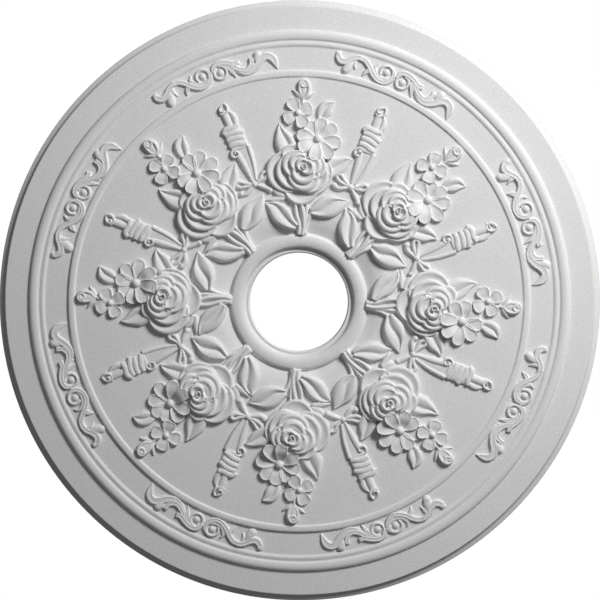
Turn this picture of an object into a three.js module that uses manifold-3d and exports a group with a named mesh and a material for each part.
// A round ceiling rose: one light casting with stacked ring mouldings, a hole for the lamp fitting,
// a wreath of flowers round the hole and a carved border of scrolls.
// Millimetres, +Z up. The flat back lies on the ceiling plane z = 0 and the carved face looks down.
import * as THREE from "three";
import { mergeVertices } from "three/addons/utils/BufferGeometryUtils.js";
import Module from "manifold-3d";

const wasm = await Module();
wasm.setup();

// Overall
const outerDiameter = 600;
const holeDiameter = 100;
const repeats = 8;
const roundFacets = 48;

// Widths of the rings, from the outer edge inwards
const edgeWidth = 7;
const bandWidth = 23.5;
const torusWidth = 11.5;
const astragalWidth = 5.5;
const friezeWidth = 22.5;
const filletWidth = 9.5;

// Widths of the rings, from the hole outwards
const lipWidth = 2.4;
const ringWidth = 16.2;
const coveWidth = 19;

// Heights above the ceiling plane
const edgeHeight = 6.5;
const bandHeight = 12.5;
const torusHeight = 16.5;
const quirkHeight = 14.3;
const astragalHeight = 15.6;
const friezeHeight = 14;
const filletHeight = 16.5;
const fieldHeight = 15;
const coveHeight = 11.5;
const ringHeight = 15.5;
const lipHeight = 10.5;

// Reliefs above the surface that they grow from
const roseRelief = 17;
const daisyRelief = 9;
const flowerRelief = 7;
const budRelief = 6.5;
const leafRelief = 5.5;
const stemRelief = 4.5;
const dropRelief = 6.5;
const scrollRelief = 3.8;

// Places of the ornament
const bouquetTipGap = 2;
const dropTipGap = 12;
const dropFootGap = 44;
const scrollMargin = 1.2;
const scrollTurn = 21;

// How deep every motif is let into the disc, and how deep its pointed ends stop
const rootDepth = 5;
const endDepth = 1;

const outerRadius = outerDiameter / 2;
const holeRadius = holeDiameter / 2;
const bandRadius = outerRadius - edgeWidth;
const torusRadius = bandRadius - bandWidth;
const astragalRadius = torusRadius - torusWidth;
const friezeRadius = astragalRadius - astragalWidth;
const filletRadius = friezeRadius - friezeWidth;
const fieldRadius = filletRadius - filletWidth;
const lipRadius = holeRadius + lipWidth;
const ringRadius = lipRadius + ringWidth;
const coveRadius = ringRadius + coveWidth;

const bouquetLength = fieldRadius - bouquetTipGap - ringRadius;
const dropFoot = ringRadius + dropFootGap;
const dropLength = fieldRadius - dropTipGap - dropFoot;
const scrollHeight = friezeWidth - 2 * scrollMargin;

const degree = Math.PI / 180;
const whitePrimer = new THREE.MeshStandardMaterial({ color: 0xe4e4e1, roughness: 0.78, metalness: 0 });

// Closed geometry to exact solid, and back
function bare(geometry) {
  geometry.deleteAttribute("normal");
  geometry.deleteAttribute("uv");
  return mergeVertices(geometry);
}

function solid(geometry) {
  const vertProperties = new Float32Array(geometry.attributes.position.array);
  const triVerts = new Uint32Array(geometry.index.array);
  return new wasm.Manifold(new wasm.Mesh({ numProp: 3, vertProperties, triVerts }));
}

function geometryOf(manifold) {
  const mesh = manifold.getMesh();
  const geometry = new THREE.BufferGeometry();
  geometry.setAttribute("position", new THREE.BufferAttribute(new Float32Array(mesh.vertProperties), 3));
  geometry.setIndex(new THREE.BufferAttribute(new Uint32Array(mesh.triVerts), 1));
  geometry.computeVertexNormals();
  return geometry;
}

function joined(solids) {
  return solids.reduce((whole, next) => whole.add(next));
}

// A long form laid on the face, drawn along a path: a leaf, petal, strand or curl.
// Its section runs from the left side, -1, to the right side, 1, each with a rise above the ground.
// `stations` may list its own shares of the path, with the width and rise at each.
function blade(path, width, section, more = {}) {
  const { along = 4, flare = 0, blunt = 1, ends = 0.5, ground = fieldHeight, stations, skew = 0 } = more;
  const outline = [...section, [1, 0], [-1, 0]];
  const last = stations ? stations.length - 1 : along;
  const ball = bare(new THREE.SphereGeometry(1, outline.length, last));
  const spots = ball.attributes.position;
  const point = new THREE.Vector3();
  for (let i = 0; i < spots.count; i += 1) {
    point.fromBufferAttribute(spots, i);
    const reach = Math.hypot(point.x, point.z);
    const station = Math.round((Math.acos(-point.y) / Math.PI) * last);
    const round = (1 + point.y) / 2;
    const rounded = [round, reach ** blunt * (1 + flare * (2 * round - 1)), ends + (1 - ends) * reach];
    const [share, breadth, swell] = stations ? stations[station] : rounded;
    const centre = path.getPoint(share);
    if (reach < 1e-6) {
      spots.setXYZ(i, centre.x, centre.y, ground - endDepth);
      continue;
    }
    const turn = Math.atan2(point.z, -point.x) / (2 * Math.PI);
    const corner = Math.round(turn * outline.length + outline.length) % outline.length;
    const [side, rise] = outline[corner];
    const [edge, edgeRise] = side > 0 ? section.at(-1) : section[0];
    const run = ((1 - Math.abs(edge)) * rootDepth) / (edgeRise * swell);
    const slope = path.getTangent(share);
    const offset = (rise > 0 ? side : side * (1 + run)) * (width / 2) * breadth;
    const height = rise > 0 ? rise * swell : -rootDepth;
    spots.setXYZ(
      i,
      centre.x + slope.y * offset - slope.x * offset * skew,
      centre.y - slope.x * offset - slope.y * offset * skew,
      ground + height,
    );
  }
  return ball;
}

// A round form on the face, lathed from its foot up to its middle: a flower, a rose or a bead.
// `change` gives, at each step round of the foot and of each ring, the shares of reach and rise
// and how far the step is pushed on, in steps.
function rosette(centre, foot, rings, around, change = () => [1, 1, 0], ground = fieldHeight) {
  const [rim, rimHeight] = rings[0];
  const run = ((foot - rim) * rootDepth) / rimHeight;
  const profile = [[0, -rootDepth], [foot + run, -rootDepth], ...rings];
  const lathed = new THREE.LatheGeometry(profile.map(([r, h]) => new THREE.Vector2(r, h)), around);
  const spots = lathed.attributes.position;
  for (let i = 0; i < spots.count; i += 1) {
    const ring = i % profile.length;
    const step = Math.floor(i / profile.length) % around;
    const [reach, rise, push] = change(step, Math.max(0, ring - 1));
    const angle = ((step + push) / around) * 2 * Math.PI;
    const [radius, height] = profile[ring];
    const level = ring < 2 || radius === 0 ? height : height * rise;
    spots.setXYZ(
      i,
      centre.x + radius * reach * Math.sin(angle),
      centre.y - radius * reach * Math.cos(angle),
      ground + level,
    );
  }
  return bare(lathed);
}

// Disc with its rings, drawn from the back edge round the face to the hole
function disc() {
  const torusMid = torusRadius - torusWidth / 2;
  const astragalMid = astragalRadius - astragalWidth / 2;
  const ringMid = lipRadius + ringWidth / 2;
  const profile = [
    [holeRadius, 0],
    [outerRadius, 0],
    [outerRadius, edgeHeight],
    [bandRadius, bandHeight],
    [torusRadius, bandHeight],
    [torusMid + torusWidth * 0.3, torusHeight],
    [torusMid - torusWidth * 0.2, torusHeight],
    [astragalRadius, quirkHeight],
    [astragalMid, astragalHeight],
    [friezeRadius, friezeHeight],
    [filletRadius, friezeHeight],
    [filletRadius - filletWidth * 0.15, filletHeight],
    [fieldRadius + filletWidth * 0.25, filletHeight],
    [fieldRadius, fieldHeight],
    [coveRadius, fieldHeight],
    [ringRadius, coveHeight],
    [ringMid + ringWidth * 0.25, ringHeight],
    [ringMid - ringWidth * 0.2, ringHeight],
    [lipRadius, lipHeight],
    [holeRadius, lipHeight],
    [holeRadius, 0],
  ];
  const lathed = new THREE.LatheGeometry(profile.map(([r, h]) => new THREE.Vector2(r, h)), roundFacets);
  lathed.rotateX(90 * degree);
  return bare(lathed);
}

// Drawing aids: places in hundredths of a motif's own size, x to the right and y outwards from its foot
function drawing(size, foot) {
  const unit = size / 100;
  const spot = (across, out) => new THREE.Vector2(across * unit, foot + out * unit);
  const bow = (from, via, to) => new THREE.QuadraticBezierCurve(spot(...from), spot(...via), spot(...to));
  const run = (points) => new THREE.SplineCurve(points.map((point) => spot(...point)));
  return { unit, spot, bow, run };
}

// Sections, from left to right
const folded = (relief) => [[-1, relief * 0.75], [0, relief * 0.4], [1, relief]];
const ridged = (relief) => [[0, relief]];
const rolled = (relief) => [[-0.45, relief], [0.45, relief]];

// An open flower: petals round a bead, three steps to a petal with the gap on every third
function flower(centre, petals, radius, relief) {
  const spread = 0.45;
  const parts = [[0.5, 0.55, 0], [1, 1, -spread], [1, 1, spread]];
  const rings = [[radius * 0.82, relief * 0.7], [0, relief * 0.6]];
  return rosette(centre, radius, rings, petals * 3, (step) => parts[step % 3]);
}

// The rose: terraces of petals that wind up to the middle, three steps to a petal
function roseHead({ unit, spot }) {
  const terraces = [[18.4, 0.3], [13.4, 0.24], [12.4, 0.6], [8.2, 0.5], [7, 1], [0, 0.76]];
  const rings = terraces.map(([radius, height]) => [radius * unit, height * roseRelief]);
  const wind = (step, level) => {
    const rim = Math.ceil(level / 2);
    const share = ((step + rim) % 3) / 2;
    return [0.92 + 0.16 * share, 1, 0];
  };
  return rosette(spot(1.2, 40.5), 19.8 * unit, rings, 9, wind);
}

// Bouquet: the stem's foot stands on the middle ring and the bud points outwards
function bouquet() {
  const draw = drawing(bouquetLength, ringRadius);
  const { unit, spot, bow } = draw;
  const leaf = (from, via, to, width, section = ridged, along = 4) => blade(
    bow(from, via, to),
    width * unit,
    section(leafRelief),
    { along },
  );
  const strand = (from, via, to, width = 3.4) => blade(
    bow(from, via, to),
    width * unit,
    ridged(stemRelief),
    { along: 3, blunt: 0.4, ground: (coveHeight + fieldHeight) / 2 },
  );
  return [
    leaf([-8, 51], [-19, 60], [-13.8, 75], 11),
    leaf([12, 77], [15, 87], [25, 89], 10, ridged, 3),
    leaf([17, 41], [27, 54], [37, 49], 12.5),
    leaf([-1, 2], [-20, 6], [-23.8, 24], 15, folded),
    leaf([5.5, 12], [20, 25], [34, 23], 16, folded),
    strand([0.5, 24], [0.5, 10], [2, -3], 7),
    roseHead(draw),
    flower(spot(12.8, 64), 8, 14.2 * unit, daisyRelief),
    flower(spot(-1.3, 80.5), 4, 10.2 * unit, flowerRelief),
    blade(bow([1, 84], [2, 92], [3.2, 100]), 8.4 * unit, rolled(budRelief), { along: 3, flare: 0.2 }),
  ];
}

// Ribbon drop between two bouquets: a bow, a rolled tail, pleated cloth and a rolled tip
function ribbonDrop() {
  const { unit, spot, run } = drawing(dropLength, dropFoot);
  const stations = [
    [0.12, 0, 0], [0.17, 0.35, 0.6], [0.46, 0.85, 1], [0.51, 0.7, 0.5], [0.57, 1, 1], [0.62, 0.8, 0.5],
    [0.69, 1, 1], [0.76, 0.5, 0.45], [0.89, 0.75, 1], [1, 0, 0],
  ];
  const loops = (step) => (step % 2 === 0 ? [0.4, 0.5, 0] : [1, 1, 0]);
  return [
    blade(run([[2, 0], [4, 50], [3, 100]]), 19 * unit, ridged(dropRelief), { stations, skew: 0.15 }),
    rosette(spot(2.5, 15), 19 * unit, [[14 * unit, dropRelief * 0.7], [0, dropRelief]], 8, loops),
  ];
}

// Border scroll, in hundredths of its height from its middle, wrapped at the end round the frieze
function borderScroll() {
  const middleRadius = filletRadius + friezeWidth / 2;
  const { unit, spot, run } = drawing(scrollHeight, middleRadius);
  const curl = (points, width) => {
    const last = points.length - 1;
    const stations = points.map((point, i) => [i / last, 1, i % last ? 1 : 0]);
    return blade(run(points), width * unit, ridged(scrollRelief), { stations, ground: friezeHeight });
  };
  const volute = (across, out, radius, around) => rosette(
    spot(across, out),
    radius * unit,
    [[radius * 0.75 * unit, scrollRelief], [0, scrollRelief * 0.4]],
    around,
    undefined,
    friezeHeight,
  );
  const pieces = [
    curl([[-262, 50], [-236, 2], [-176, 36], [-120, 28], [-92, -22], [-50, -44]], 20),
    curl([[-212, 14], [-226, -18], [-234, -52]], 32),
    volute(-42, 8, 44, 6),
    volute(44, -8, 36, 6),
    curl([[66, 22], [92, 26], [118, -8], [152, -40], [205, -26], [258, 24], [296, -50]], 22),
  ];
  for (const piece of pieces) {
    const spots = piece.attributes.position;
    for (let i = 0; i < spots.count; i += 1) {
      const angle = spots.getX(i) / middleRadius;
      const radius = spots.getY(i);
      spots.setXY(i, radius * Math.sin(angle), radius * Math.cos(angle));
    }
  }
  return pieces;
}

// Every motif turned to its place, and all of it one body with the disc
function ceilingRose() {
  const step = (360 / repeats) * degree;
  const turned = (pieces, angle) => pieces.map((piece) => piece.clone().rotateZ(angle));
  let whole = solid(disc());
  for (let i = 0; i < repeats; i += 1) {
    const sector = [
      ...turned(bouquet(), i * step),
      ...turned(ribbonDrop(), (i - 0.5) * step),
      ...turned(borderScroll(), i * step + scrollTurn * degree),
    ];
    whole = whole.add(joined(sector.map(solid)));
  }
  return whole;
}

const rose = new THREE.Mesh(geometryOf(ceilingRose()), whitePrimer);
rose.name = "ceiling_rose";
rose.rotation.x = Math.PI;

const part = new THREE.Group();
part.add(rose);

export default part;
